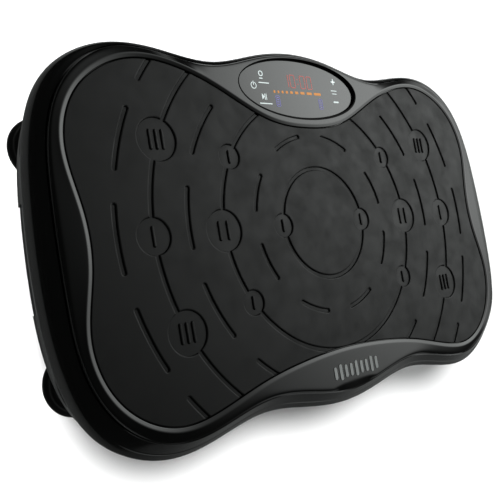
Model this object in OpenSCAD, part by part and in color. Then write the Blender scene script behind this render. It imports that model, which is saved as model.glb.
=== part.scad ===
// Oscillating vibration plate: a rocking deck on a fixed base with suction feet.
// X runs along the plate, +Y towards the console, +Z up. The origin lies on the
// floor under the centre of the standing mat. Millimetres.

/* [Heights] */
// Height of the standing surface above the floor
mat_top = 128; // [124:1:134]
// Depth of the rubber mat
mat_t = 3.5; // [2:0.5:4]
// Height of the bead round the mat above the mat
bead_rise = 1.6; // [0:0.2:2]
// Height of the seam between the top shell and the side skirt
seam_z = 124.6; // [123:0.1:125.5]
// Height at which the side skirt is widest
hip_z = 111; // [108:0.5:114]
// Height of the skirt's lower edge
skirt_z = 60; // [56:1:66]

/* [Shells] */
// Wall thickness of the moulded shells
wall = 2.5; // [2:0.1:3]
// Gap between the edges of the top shell and the skirt
seam_gap = 1.2; // [0.8:0.1:1.6]
// Points along each stretch of an outline
steps = 4; // [3:1:6]
// Distance from the widest outline to the base tray's wall
tray_inset = 24; // [22:0.5:28]

/* [Hand grips] */
// Length of the cut-out in each end of the skirt
grip_l = 100; // [80:1:120]
// Height of the cut-out's upper edge
grip_z = 84; // [80:1:88]
// Corner radius of the cut-out
grip_r = 5; // [3:0.5:8]

/* [Mat pattern] */
// Width of the circular grooves
groove_w = 4; // [2:0.5:5]
// Depth of the grooves and the numeral discs
groove_d = 1; // [0.5:0.1:1.5]
// Radius of the inner circle
ring_1 = 62.5; // [60:0.5:65]
// Radius of the second full circle
ring_2 = 144; // [142:0.1:147]
// Radius of the outer circle
ring_3 = 226.8; // [225:0.1:230]

/* [Console] */
// Distance of the console's centre from the mat's centre
console_y = 156; // [155:0.5:156]
// Half length of the oval bezel
console_a = 94; // [90:0.5:95]
// Half width of the oval bezel
console_b = 36.5; // [35:0.5:36.5]
// Width of the bezel
bezel_w = 2.6; // [2:0.1:3]
// Depth of the lens below the bezel
lens_drop = 5; // [3:0.5:5]

/* [Rocking pivot] */
// Height of the pivot axis
pivot_z = 80; // [78:1:82]
// Radius of the pivot pins
pivot_r = 8; // [7:0.5:8]
// Distance of each pivot from the middle
pivot_y = 101; // [101:0.5:102]

/* [Drive] */
// Distance of the eccentric shaft from the pivot, towards -X
shaft_x = 120; // [118:1:124]
// Height of the eccentric shaft
shaft_z = 66; // [65:0.5:67]
// Radius of the eccentric shaft
shaft_r = 8.5; // [8.5:0.1:8.6]
// Offset of the eccentric journals
throw = 1.8; // [1:0.1:1.8]
// Radius of the eccentric journals
journal_r = 12.5; // [12:0.5:12.5]
// Height of the rod's upper pin
rod_top_z = 98; // [97:0.5:98]
// Distance of the motor from the pivot, towards +X
motor_x = 100; // [90:1:110]
// Outer radius of the motor can
motor_r = 34; // [32:0.5:34]
// Radius of the driven pulley
pulley_r = 30; // [28:0.5:30]
// Radius of the motor pulley
pinion_r = 12; // [10:0.5:12]
// Middle of the belt along Y
belt_y = -64; // [-65:0.5:-63]

/* [Feet] */
// Distance of the feet from the middle along X
foot_x = 269; // [265:1:272]
// Distance of the feet from their own middle along Y
foot_y = 121.5; // [115:0.5:122]
// Radius of a foot's suction cup
foot_r = 33.5; // [30:0.5:35]
// Height of the feet
foot_h = 24; // [22:0.5:24]

/* [Power panel] */
// Position of the panel along X
panel_x = 131; // [129:1:133]
// Height of the panel's middle
panel_z = 43; // [42:0.5:43]

/* [Hidden] */
$fn = 64;

// Half outlines, from the front middle round +X to the rear middle: the guide
// points of a closed smooth curve that is mirrored in X.
mat_half = [
    [0, -141], [62, -145], [127, -154], [190, -174], [240, -179], [291, -145], [310, -85],
    [290, -28], [290, 28], [307, 85], [289, 140], [240, 172], [190, 175], [127, 154],
    [62, 113], [0, 109]
];
seam_half = [
    [0, -194], [58, -182], [120, -169], [190, -190], [243, -192], [291, -163],
    [318, -111], [321, -45], [321, 45], [316, 110], [290, 158], [243, 187], [190, 185],
    [125, 168], [60, 192], [0, 199]
];
hip_half = [
    [0, -206], [58, -198], [120, -183], [188, -202], [247, -207], [308, -176],
    [333, -118], [340, -45], [338, 45], [330, 113], [305, 164], [251, 192.5], [189, 191.5],
    [122, 175.5], [60, 196], [0, 204.5]
];

// Closed smooth curve through the neighbourhood of its guide points
function mirrored(half) =
    concat(half, [for (i = [len(half) - 2:-1:1]) [-half[i][0], half[i][1]]]);
function blend4(a, b, c, d, t) =
    (pow(1 - t, 3) * a + (3 * pow(t, 3) - 6 * t * t + 4) * b
     + (-3 * pow(t, 3) + 3 * t * t + 3 * t + 1) * c + pow(t, 3) * d) / 6;
function smooth(c) = let (n = len(c)) [
    for (i = [0:n - 1], j = [0:steps - 1])
        blend4(c[(i + n - 1) % n], c[i], c[(i + 1) % n], c[(i + 2) % n], j / steps)
];
mat_line = smooth(mirrored(mat_half));
seam_line = smooth(mirrored(seam_half));
hip_line = smooth(mirrored(hip_half));

// The curve moved outwards by d along its own normals
function unit(v) = v / norm(v);
function grown(c, d) = let (n = len(c)) [
    for (i = [0:n - 1])
        let (along = unit(c[(i + 1) % n] - c[(i + n - 1) % n]))
            c[i] + d * [along[1], -along[0]]
];
function between(a, b, w) = [for (i = [0:len(a) - 1]) (1 - w) * a[i] + w * b[i]];
function at(c, z) = [for (p = c) [p[0], p[1], z]];

// A skin over a stack of rings, capped at both ends or closed on itself
module loft(rings, looped = false) {
    n = len(rings[0]);
    last = len(rings) - 1;
    pairs = [for (i = [0:looped ? last : last - 1]) [i, (i + 1) % (last + 1)]];
    points = [for (r = rings, p = r) p];
    sides = [
        for (pr = pairs, j = [0:n - 1]) let (a = pr[0] * n, b = pr[1] * n, k = (j + 1) % n)
            each [[a + j, b + j, b + k], [a + j, b + k, a + k]]
    ];
    caps = looped ? [] : [[for (j = [0:n - 1]) j], [for (j = [n - 1:-1:0]) last * n + j]];
    polyhedron(points = points, faces = concat(caps, sides));
}

module rounded(w, d, r) {
    union() {
        square([w - 2 * r, d], center = true);
        square([w, d - 2 * r], center = true);
        for (x = [-1, 1], y = [-1, 1])
            translate([x * (w / 2 - r), y * (d / 2 - r)]) circle(r);
    }
}
module box(low, high) {
    translate(low) cube(high - low);
}
// Cylinder along Y between two values of y
module bar_y(x, z, y0, y1, r) {
    translate([x, max(y0, y1), z]) rotate([90, 0, 0]) cylinder(r = r, h = abs(y1 - y0));
}
module tube_y(x, z, y0, y1, r_out, r_in) {
    difference() {
        bar_y(x, z, y0, y1, r_out);
        bar_y(x, z, min(y0, y1) - 1, max(y0, y1) + 1, r_in);
    }
}
// Cap screw or bolt standing on z0, head upwards
module bolt(x, y, z0, z1, r, head_r, head_h) {
    translate([x, y, z0]) cylinder(r = r, h = z1 - z0);
    translate([x, y, z1]) cylinder(r = head_r, h = head_h);
}

/* ---- deck: everything that rocks ---- */

floor_t = 4;         // thickness of the top shell under the mat
shell_floor = mat_top - mat_t;
deck_top = shell_floor - floor_t - 0.1;
deck_t = 3;
deck_bottom = deck_top - deck_t;
flange_z = 119;      // top of the skirt's inner flange
rim_w = 7;           // width of the rim that rests on the flange
rail_y = 132;
rail_s = 16;

// Arc-shaped slot with round ends
function polar(r, a) = [r * cos(a), r * sin(a)];
module dash(r, from, to) {
    w = groove_w / 2;
    linear_extrude(groove_d + 1) polygon(concat(
        [for (i = [0:6]) polar(r + w, from + i / 6 * (to - from))],
        [for (a = [30:30:150]) polar(r, to) + polar(w, to + a)],
        [for (i = [6:-1:0]) polar(r - w, from + i / 6 * (to - from))],
        [for (a = [210:30:330]) polar(r, from) + polar(w, from + a)]
    ));
}
module numeral(x, y, r, bars, bar_l, pitch) {
    translate([x, y, 0]) difference() {
        cylinder(r = r, h = groove_d + 1);
        for (i = [0:bars - 1])
            translate([(i - (bars - 1) / 2) * pitch, 0, -1])
                linear_extrude(groove_d + 1) rounded(3, bar_l, 1.4);
    }
}
module circle_groove(r) {
    difference() {
        cylinder(r = r + groove_w / 2, h = groove_d + 1, $fn = 128);
        translate([0, 0, -1]) cylinder(r = r - groove_w / 2, h = groove_d + 3, $fn = 128);
    }
}
dash_2 = 101;        // radii of the dashed circles
dash_4 = 186.5;
dash_6 = 265;
dash_6_pitch = 20.8; // angle from one outer dash to the next
dash_6_half = 6.6;   // half the angle an outer dash spans
triple_a = 24.2;     // angle of the discs with three bars
single_a = 31.9;     // angle of the single-bar discs on the second circle
module mat_pattern() {
    for (r = [ring_1, ring_2, ring_3]) circle_groove(r);
    for (s = [-1, 1]) {
        numeral(s * (ring_1 + 1), 0, 13, 1, 14, 0);
        numeral(s * (ring_2 + 0.4), 0, 21.5, 2, 20, 10.6);
        numeral(s * ring_3, 0, 18, 1, 20, 0);
        for (v = [-1, 1]) {
            numeral(s * ring_2 * cos(single_a), v * ring_2 * sin(single_a), 13, 1, 14, 0);
            numeral(s * ring_3 * cos(triple_a), v * ring_3 * sin(triple_a), 21.5, 3, 20, 7);
        }
    }
    for (q = [0, 90, 180, 270]) for (a = [11, 57])
        let (lo = q % 180 == 0 ? a : 90 - a - 22) dash(dash_2, q + lo, q + lo + 22);
    for (side = [0, 180], mid = [34.5, 4.8, -25, -55])
        let (m = side == 0 ? mid : 180 - mid) dash(dash_4, m - 9, m + 9);
    for (side = [0, 180], i = [-2:2])
        dash(dash_6, side + i * dash_6_pitch - dash_6_half, side + i * dash_6_pitch + dash_6_half);
}
module mat() {
    color("#2e2e2e") difference() {
        translate([0, 0, shell_floor]) linear_extrude(mat_t) polygon(mat_line);
        translate([0, 0, mat_top - groove_d]) mat_pattern();
    }
}

screw_spots = [
    for (s = [-1, 1]) each [[s * 200, 60], [s * 200, -60], [s * 70, 60], [s * 70, -60]]
];
skirt_spots = concat(
    [for (s = [-1, 1]) each [[s * 315, 0], [s * 217, -186], [s * 217, 180.5], [s * 122, 169.5]]],
    [[0, -186]]
);
module oval(a, b) {
    polygon([for (t = [0:5:355]) [a * cos(t), b * sin(t)]]);
}
bezel_seat = mat_top - 1.8;
module top_shell() {
    edge = seam_gap / 2;
    color("#161817") difference() {
        loft([
            at(grown(mat_line, 0.6), shell_floor),
            at(grown(mat_line, 0.6), mat_top + 0.6 * bead_rise),
            at(grown(mat_line, 1.6), mat_top + bead_rise),
            at(grown(mat_line, 4.6), mat_top + bead_rise),
            at(grown(mat_line, 6.2), mat_top + 0.4 * bead_rise),
            at(grown(between(mat_line, seam_line, 0.5), 2), mat_top - 0.2),
            at(grown(seam_line, -5), mat_top - 1.4),
            at(grown(seam_line, -edge), seam_z),
            at(grown(seam_line, -edge), flange_z),
            at(grown(seam_line, -edge - rim_w), flange_z),
            at(grown(seam_line, -edge - rim_w), seam_z - wall),
            at(grown(mat_line, 5.5), shell_floor),
            at(grown(mat_line, 3.5), shell_floor - floor_t)
        ]);
        translate([0, console_y, flange_z - 5]) linear_extrude(20)
            oval(console_a - bezel_w, console_b - bezel_w);
        translate([0, console_y, bezel_seat]) linear_extrude(20) oval(console_a, console_b);
        for (p = skirt_spots) translate([p[0], p[1], flange_z - 1]) cylinder(r = 1.6, h = 5);
        for (p = screw_spots) translate([p[0], p[1], deck_top - 1]) cylinder(r = 1.6, h = 4.2);
    }
}

// Skirt: a rounded shoulder above the widest line, then an inward taper
shoulder_power = 2.5;
shoulder = [0.06, 0.3, 0.55, 0.75, 0.9, 0.98];
lower = [
    [0, hip_z], [-1.4, 103], [-4.6, 94], [-8, 84], [-10.8, 74], [-12.8, 65], [-13.5, skirt_z + 1.2]
];
module side_skirt() {
    rise = mat_top - 2.4 - hip_z;
    outer = concat(
        [for (w = shoulder) at(grown(between(seam_line, hip_line, w), w < 0.1 ? -0.1 : 0),
            hip_z + rise * pow(1 - pow(w, shoulder_power), 1 / shoulder_power))],
        [for (s = lower) at(grown(hip_line, s[0]), s[1])],
        [at(grown(hip_line, lower[6][0] - 0.8), skirt_z)]
    );
    inner = [
        at(grown(hip_line, lower[6][0] - 0.8 - wall), skirt_z),
        at(grown(hip_line, lower[4][0] - wall), lower[4][1]),
        at(grown(hip_line, lower[2][0] - wall), lower[2][1]),
        at(grown(hip_line, -wall), hip_z),
        at(grown(between(seam_line, hip_line, 0.72), -1), flange_z - 2),
        at(grown(seam_line, -14), flange_z - 2),
        at(grown(seam_line, -14), flange_z),
        at(grown(seam_line, seam_gap / 2), flange_z)
    ];
    color("#1c1e1d") difference() {
        loft(concat(outer, inner), looped = true);
        for (s = [-1, 1]) translate([s * 325, -4, grip_z - 20]) rotate([0, 90, 0])
            translate([0, 0, -40]) linear_extrude(80) rounded(40, grip_l, grip_r);
        for (s = [-1, 1]) box([s * 325 - 40, -4 - grip_l / 2, skirt_z - 5],
            [s * 325 + 40, -4 + grip_l / 2, grip_z - 20]);
        for (p = skirt_spots) translate([p[0], p[1], flange_z - 4]) cylinder(r = 1.9, h = 6);
    }
}

bezel_top = mat_top + 1.2;
lens_top = bezel_top - lens_drop;
module console_bezel() {
    color("#0c0c0c") translate([0, console_y, 0]) difference() {
        union() {
            translate([0, 0, bezel_seat]) linear_extrude(bezel_top - bezel_seat)
                oval(console_a, console_b);
            translate([0, 0, lens_top - 3.2]) linear_extrude(bezel_top - lens_top + 3.2)
                oval(console_a - bezel_w - 0.1, console_b - bezel_w - 0.1);
        }
        translate([0, 0, lens_top - 1.6]) linear_extrude(20)
            oval(console_a - 2 * bezel_w, console_b - 2 * bezel_w);
        translate([0, 0, lens_top - 6]) linear_extrude(20)
            oval(console_a - 2 * bezel_w - 3, console_b - 2 * bezel_w - 3);
    }
}
module display_lens() {
    color("#141414") translate([0, console_y, lens_top - 1.6]) linear_extrude(1.6)
        oval(console_a - 2 * bezel_w - 0.1, console_b - 2 * bezel_w - 0.1);
}
board_top_z = lens_top - 8.4;
module led_display() {
    color("#c22018")
        box([-26, console_y - 2, board_top_z], [22, console_y + 16, board_top_z + 5.4]);
}
module display_board() {
    z = board_top_z - 1.6;
    color("#1f5c33") union() {
        translate([0, console_y + 3, z]) linear_extrude(1.6) oval(80, 18);
        for (x = [-42, 26]) box([x - 4, console_y - 10, z + 1.6], [x + 4, console_y - 4, z + 4]);
        for (x = [-62, 54], y = [-3, 9]) translate([x, console_y + y, z + 1.6])
            cylinder(r = 2.5, h = 3);
    }
}
module display_cable() {
    top = lens_top - 10;
    color("#b8b8b8") translate([-12, 0, 0]) rotate([90, 0, 90]) linear_extrude(24) polygon([
        [148, top], [148, top - 6], [144, top - 16], [142, 76], [131, 58], [131, 44],
        [132, 44], [132, 57.6], [143, 75.6], [145, top - 16], [149, top - 6], [149, top]
    ]);
}
module deck_plate() {
    color("#6c7075") difference() {
        translate([0, -4, deck_bottom]) linear_extrude(deck_t) rounded(560, 296, 45);
        translate([0, console_y + 26.5, deck_bottom - 1]) linear_extrude(deck_t + 2)
            rounded(180, 84, 10);
        for (x = rail_bolts, y = [-rail_y, rail_y])
            translate([x, y, deck_bottom - 1]) cylinder(r = 3.1, h = deck_t + 2);
        for (p = screw_spots) translate([p[0], p[1], deck_bottom - 1]) cylinder(r = 2.2, h = 9);
    }
}
// Square tube along X with bolt holes
module rail(y) {
    color("#55595e") difference() {
        box([-265, y - rail_s / 2, deck_bottom - rail_s], [265, y + rail_s / 2, deck_bottom]);
        box([-270, y - rail_s / 2 + 2, deck_bottom - rail_s + 2],
            [270, y + rail_s / 2 - 2, deck_bottom - 2]);
        for (x = rail_bolts) translate([x, y, deck_bottom - rail_s - 1])
            cylinder(r = 3.1, h = rail_s + 2);
    }
}
rail_bolts = [-240, -70, 70, 240];
module deck_rail_front() { rail(-rail_y); }
module deck_rail_rear() { rail(rail_y); }
module deck_bolts() {
    color("#9a9ea3") for (x = rail_bolts, y = [-rail_y, rail_y]) {
        translate([x, y, deck_bottom - rail_s - 4]) cylinder(r = 5, h = 4);
        translate([x, y, deck_bottom - rail_s]) cylinder(r = 3, h = rail_s + deck_t);
    }
}
module shell_screws() {
    color("#9a9ea3") for (p = screw_spots) {
        translate([p[0], p[1], deck_bottom - 2.4]) cylinder(r = 3.6, h = 2.4);
        translate([p[0], p[1], deck_bottom]) cylinder(r = 1.55, h = deck_t + 3);
    }
}
module skirt_screws() {
    color("#9a9ea3") for (p = skirt_spots) {
        translate([p[0], p[1], flange_z - 4.2]) cylinder(r = 3.4, h = 2.2);
        translate([p[0], p[1], flange_z - 2]) cylinder(r = 1.55, h = 5.5);
    }
}
yoke_w = 19;
module yoke(s) {
    y = s * pivot_y;
    color("#4d5156") difference() {
        union() {
            box([-16, y - yoke_w / 2, pivot_z], [16, y + yoke_w / 2, deck_bottom]);
            bar_y(0, pivot_z, y - yoke_w / 2, y + yoke_w / 2, 16);
            box([-30, y - yoke_w / 2, deck_bottom - 5], [30, y + yoke_w / 2, deck_bottom]);
        }
        bar_y(0, pivot_z, y - 20, y + 20, pivot_r + 3);
    }
}
module pivot_yoke_front() { yoke(-1); }
module pivot_yoke_rear() { yoke(1); }
module bush(s) {
    color("#23201d") tube_y(0, pivot_z, s * pivot_y - yoke_w / 2, s * pivot_y + yoke_w / 2,
        pivot_r + 3, pivot_r + 0.05);
}
module pivot_bush_front() { bush(-1); }
module pivot_bush_rear() { bush(1); }

rod_y = 112;         // middle of each connecting rod
rod_w = 12;
rod_pin_r = 4;
ear_out = 11;        // half width over the bracket's ears
ear_t = 3;
module rod_bracket(s) {
    y = s * rod_y;
    color("#4d5156") difference() {
        union() {
            box([-shaft_x - 18, y - ear_out, deck_bottom - 4],
                [-shaft_x + 18, y + ear_out, deck_bottom]);
            for (ear = [y - ear_out, y + ear_out - ear_t]) {
                box([-shaft_x - 8, ear, rod_top_z], [-shaft_x + 8, ear + ear_t, deck_bottom]);
                bar_y(-shaft_x, rod_top_z, ear, ear + ear_t, 8);
            }
        }
        bar_y(-shaft_x, rod_top_z, y - 20, y + 20, rod_pin_r);
    }
}
module rod_bracket_front() { rod_bracket(-1); }
module rod_bracket_rear() { rod_bracket(1); }
module rod_pins() {
    color("#b4b8bc") for (s = [-1, 1])
        bar_y(-shaft_x, rod_top_z, s * rod_y - ear_out, s * rod_y + ear_out, rod_pin_r);
}

/* ---- base: everything that stands still ---- */

plate_z = 27;        // underside of the base plate, on the tray's floor
plate_t = 3;
tray_top = 94;
plate_top = plate_z + plate_t;
panel_face = 167.5;
inlet_x = panel_x - 22;
switch_x = panel_x + 13;
fuse_x = panel_x + 36;
foot_mid = -4;
foot_spots = [for (x = [-1, 1], y = [-1, 1]) [x * foot_x, foot_mid + y * foot_y]];

module base_tray() {
    color("#1a1a1a") difference() {
        union() {
            loft([
                at(grown(hip_line, -tray_inset - 20), foot_h),
                at(grown(hip_line, -tray_inset - 8), foot_h + 2),
                at(grown(hip_line, -tray_inset - 2), foot_h + 8),
                at(grown(hip_line, -tray_inset), foot_h + 18),
                at(grown(hip_line, -tray_inset), tray_top),
                at(grown(hip_line, -tray_inset - wall), tray_top),
                at(grown(hip_line, -tray_inset - wall), foot_h + 18),
                at(grown(hip_line, -tray_inset - wall - 3), foot_h + 8),
                at(grown(hip_line, -tray_inset - wall - 9), foot_h + 4),
                at(grown(hip_line, -tray_inset - wall - 12), plate_z)
            ]);
            for (p = foot_spots) translate([p[0], p[1], foot_h]) cylinder(r = 25, h = 3);
            box([panel_x - 42, panel_face - 8, panel_z - 12],
                [panel_x + 46, panel_face, panel_z + 12]);
        }
        for (p = foot_spots) translate([p[0], p[1], 0]) cylinder(r = 4.2, h = 60);
        box([inlet_x - 14, 150, panel_z - 10], [inlet_x + 14, 175, panel_z + 10]);
        box([switch_x - 9.5, 150, panel_z - 7], [switch_x + 9.5, 175, panel_z + 7]);
        bar_y(fuse_x, panel_z, 150, 175, 6);
    }
}
module base_plate() {
    color("#6c7075") difference() {
        translate([0, foot_mid, plate_z]) linear_extrude(plate_t) rounded(580, 280, 48);
        for (p = foot_spots) translate([p[0], p[1], plate_z - 1]) cylinder(r = 4.2, h = 5);
        for (p = concat(stand_spots, pillow_spots)) translate([p[0], p[1], plate_z - 1])
            cylinder(r = 3.05, h = 5);
    }
}
module foot(x, y) {
    color("#191919") translate([foot_x * x, foot_mid + foot_y * y, 0]) rotate_extrude($fn = 96)
        polygon([
            [4.2, 6], [12, 5.5], [20, 4], [27, 0], [foot_r - 1, 0], [foot_r, 1], [foot_r, 4],
            [foot_r - 3, 8], [25, 11], [23, 14], [24, 18], [25, foot_h], [4.2, foot_h]
        ]);
}
module foot_front_left() { foot(-1, -1); }
module foot_front_right() { foot(1, -1); }
module foot_rear_left() { foot(-1, 1); }
module foot_rear_right() { foot(1, 1); }
module foot_bolts() {
    color("#9a9ea3") for (p = foot_spots) {
        translate([p[0], p[1], 1.8]) cylinder(r = 9, h = 3.6);
        translate([p[0], p[1], 5.4]) cylinder(r = 4, h = plate_top + 3);
        translate([p[0], p[1], plate_top]) cylinder(r = 7.5, h = 6, $fn = 6);
    }
}

stand_spots = [for (s = [-1, 1], x = [-24, 24], y = [-1, 1]) [x, s * pivot_y + y * 14.5]];
module pivot_stand(s) {
    y = s * pivot_y;
    color("#5a5e63") difference() {
        union() {
            box([-32, y - 19, plate_top], [32, y + 19, plate_top + 5]);
            for (v = [-1, 1]) {
                mid = y + v * 14;
                box([-13, mid - 3, plate_top], [13, mid + 3, pivot_z]);
                bar_y(0, pivot_z, mid - 3, mid + 3, 13);
            }
        }
        bar_y(0, pivot_z, y - 30, y + 30, pivot_r);
        for (p = stand_spots) translate([p[0], p[1], plate_top - 1]) cylinder(r = 3.1, h = 8);
    }
}
module pivot_stand_front() { pivot_stand(-1); }
module pivot_stand_rear() { pivot_stand(1); }
module pivot_pins() {
    color("#b4b8bc") for (s = [-1, 1])
        bar_y(0, pivot_z, s * pivot_y - 19, s * pivot_y + 19, pivot_r);
}
module stand_bolts() {
    color("#9a9ea3") for (p = stand_spots) bolt(p[0], p[1], plate_z, plate_top + 5, 3, 5, 4);
}

pillow_y = 88;
pillow_spots = [for (s = [-1, 1], x = [-30, 30]) [-shaft_x + x, s * pillow_y]];
module pillow_block(s) {
    y = s * pillow_y;
    color("#46604f") difference() {
        union() {
            box([-shaft_x - 40, y - 8, plate_top], [-shaft_x + 40, y + 8, plate_top + 9]);
            box([-shaft_x - 21, y - 8, plate_top], [-shaft_x + 21, y + 8, shaft_z]);
            bar_y(-shaft_x, shaft_z, y - 8, y + 8, 26);
        }
        bar_y(-shaft_x, shaft_z, y - 20, y + 20, 20);
        for (p = pillow_spots) translate([p[0], p[1], plate_top - 1]) cylinder(r = 3.1, h = 12);
    }
}
module pillow_block_front() { pillow_block(-1); }
module pillow_block_rear() { pillow_block(1); }
module shaft_bearing(s) {
    color("#c8ccd0") difference() {
        tube_y(-shaft_x, shaft_z, s * pillow_y - 6, s * pillow_y + 6, 20, shaft_r + 0.05);
        for (v = [-6, 6])
            tube_y(-shaft_x, shaft_z, s * pillow_y + v - 1, s * pillow_y + v + 1, 17, 12);
    }
}
module shaft_bearing_front() { shaft_bearing(-1); }
module shaft_bearing_rear() { shaft_bearing(1); }
module pillow_bolts() {
    color("#9a9ea3") for (p = pillow_spots) bolt(p[0], p[1], plate_z, plate_top + 9, 3, 5, 4);
}

motor_z = shaft_z;
can_front = -40;
can_rear = 48;
module motor_can() {
    color("#3f4347") tube_y(motor_x, motor_z, can_front, can_rear, motor_r, motor_r - 2.5);
}
module motor_cap_front() {
    color("#8f9397") difference() {
        union() {
            bar_y(motor_x, motor_z, can_front - 5, can_front, motor_r);
            bar_y(motor_x, motor_z, can_front - 9, can_front - 4, 11);
        }
        bar_y(motor_x, motor_z, -60, 0, 5.05);
    }
}
module motor_cap_rear() {
    color("#8f9397") difference() {
        union() {
            bar_y(motor_x, motor_z, can_rear, can_rear + 5, motor_r);
            bar_y(motor_x, motor_z, can_rear + 4, can_rear + 12, 11);
        }
        bar_y(motor_x, motor_z, 0, can_rear + 9, 5.05);
    }
}
module motor_magnets() {
    color("#2d2f33") for (a = [-1, 1]) intersection() {
        tube_y(motor_x, motor_z, can_front + 6, can_rear - 6, motor_r - 2.5, motor_r - 7);
        translate([motor_x + a * 23 - 17, can_front, 0]) cube([34, can_rear - can_front, 120]);
    }
}
module motor_cradle() {
    color("#55595e") difference() {
        union() {
            box([motor_x - 40, -34, plate_top], [motor_x + 40, 42, plate_top + 3]);
            for (y = [-34, 30]) box([motor_x - 32, y, plate_top], [motor_x + 32, y + 12, motor_z - 12]);
        }
        bar_y(motor_x, motor_z, -60, 80, motor_r);
    }
}
module motor_rotor() {
    color("#a06a3a") union() {
        bar_y(motor_x, motor_z, can_front + 8, can_rear - 8, motor_r - 8);
        bar_y(motor_x, motor_z, belt_y - 12, can_rear + 8.5, 5);
    }
}
module motor_pulley() {
    color("#c8ccd0") difference() {
        union() {
            bar_y(motor_x, motor_z, belt_y - 10, belt_y + 10, pinion_r);
            for (y = [belt_y - 10, belt_y + 10])
                bar_y(motor_x, motor_z, y - 1, y + 1, pinion_r + 3);
        }
        bar_y(motor_x, motor_z, belt_y - 20, belt_y + 20, 5);
    }
}
module belt_loop(gap) {
    lean = acos((pulley_r - pinion_r) / (motor_x + shaft_x));
    big = pulley_r + gap;
    small = pinion_r + gap;
    polygon(concat(
        [for (i = [0:24]) let (a = lean + i / 24 * (360 - 2 * lean))
            [-shaft_x + big * cos(a), big * sin(a)]],
        [for (i = [0:24]) let (a = -lean + i / 24 * 2 * lean)
            [motor_x + small * cos(a), small * sin(a)]]
    ));
}
module drive_belt() {
    color("#141414") translate([0, belt_y + 7, shaft_z]) rotate([90, 0, 0]) linear_extrude(14)
        difference() {
            belt_loop(2.8);
            belt_loop(0.3);
        }
}

board_low = [-275, -52];
board_high = [-168, 30];
board_z = plate_top + 9;
module control_board() {
    color("#2a5f3a") union() {
        box([board_low[0], board_low[1], board_z], [board_high[0], board_high[1], board_z + 1.6]);
        for (x = [-269, -174], y = [-46, 24]) translate([x, y, plate_top]) cylinder(r = 3, h = 9);
        for (y = [-38, -18]) translate([-256, y, board_z]) cylinder(r = 8, h = 27);
        box([-230, -44, board_z], [-208, -26, board_z + 16]);
        box([-200, -44, board_z], [-178, -30, board_z + 11]);
        for (x = [-262, -244, -226]) box([x, 16, board_z], [x + 13, 26, board_z + 10]);
    }
}
module heat_sink() {
    color("#b9bdc1") union() {
        box([-232, -16, board_z + 1.6], [-178, 8, board_z + 5.6]);
        for (i = [0:6])
            box([-232, -16 + i * 3.75, board_z + 4], [-178, -14.5 + i * 3.75, board_z + 24]);
    }
}
module transformer() {
    color("#77736a") union() {
        box([-262, 52, plate_top], [-206, 96, plate_top + 4]);
        box([-256, 54, plate_top + 4], [-212, 94, plate_top + 38]);
        box([-248, 47, plate_top + 10], [-220, 101, plate_top + 32]);
    }
}
// Eight-sided tube through the points, which never run straight up
module wire(points, r) {
    last = len(points) - 1;
    loft([for (i = [0:last])
        let (t = unit(points[min(i + 1, last)] - points[max(i - 1, 0)]),
             u = unit(cross(t, [0, 0, 1])), v = cross(u, t))
            [for (a = [0:45:315]) points[i] + r * (cos(a) * v + sin(a) * u)]
    ]);
}
wire_z = plate_top + 3.2;
motor_wire = [
    [128, 55.6, 74], [128, 66, 60], [116, 72, wire_z], [-60, 70, wire_z], [-160, 66, wire_z],
    [-184, 38, wire_z + 8], [-184, 26.5, board_z + 5]
];
mains_wire = [
    [inlet_x, 138, panel_z], [inlet_x - 4, 130, wire_z + 2], [60, 122.8, wire_z],
    [-150, 122.8, wire_z], [-196, 108, wire_z], [-200, 80, wire_z + 4], [-206.5, 74, wire_z + 8]
];
module wire_harness() {
    color("#303236") union() {
        wire(motor_wire, 2.5);
        wire(mains_wire, 2.5);
    }
}
module display_header() {
    color("#e2e0d8") difference() {
        box([-17, 126, plate_top], [17, 137.5, plate_top + 11]);
        box([-14, 129, plate_top + 4], [14, 135, plate_top + 12]);
    }
}

module power_inlet() {
    translate([inlet_x, 0, panel_z]) {
        color("#121212") difference() {
            union() {
                box([-17, panel_face, -11], [17, panel_face + 2.2, 11]);
                box([-13.9, 142, -9.9], [13.9, panel_face, 9.9]);
            }
            box([-12, 150, -8], [12, 175, 8]);
        }
        color("#d0c8a8") {
            for (p = [[-7, 0], [0, 2], [7, 0]])
                box([p[0] - 1, 149, p[1] - 2], [p[0] + 1, 164, p[1] + 2]);
            for (x = [-7, 7]) box([x - 2, 138.5, -1], [x + 2, 142, 1]);
        }
    }
}
module fuse_holder() {
    color("#121212") union() {
        bar_y(fuse_x, panel_z, panel_face, panel_face + 4, 7.5);
        bar_y(fuse_x, panel_z, 136, panel_face, 5.9);
    }
}
rocker_y = panel_face - 1.5;
module switch_housing() {
    color("#121212") difference() {
        union() {
            box([switch_x - 12, panel_face, panel_z - 9],
                [switch_x + 12, panel_face + 2, panel_z + 9]);
            box([switch_x - 9.4, 146, panel_z - 6.9],
                [switch_x + 9.4, panel_face, panel_z + 6.9]);
        }
        box([switch_x - 8, 152, panel_z - 5.8], [switch_x + 8, 175, panel_z + 5.8]);
        translate([switch_x - 9, rocker_y, panel_z]) rotate([0, 90, 0]) cylinder(r = 1.05, h = 18);
    }
}
rocker_tilt = 7;
module rocker_switch() {
    color("#7d1512") translate([switch_x, rocker_y, panel_z]) rotate([rocker_tilt, 0, 0]) union() {
        rotate([90, 0, 90]) translate([0, 0, -7.7]) linear_extrude(15.4)
            polygon([[-6, -3], [-1, -5], [4.6, -5], [3, 0], [4.6, 5], [-1, 5], [-6, 3]]);
        translate([-8.9, 0, 0]) rotate([0, 90, 0]) cylinder(r = 1, h = 17.8);
    }
}

/* ---- drive: the eccentric shaft, its rods and the pulleys ---- */

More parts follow.
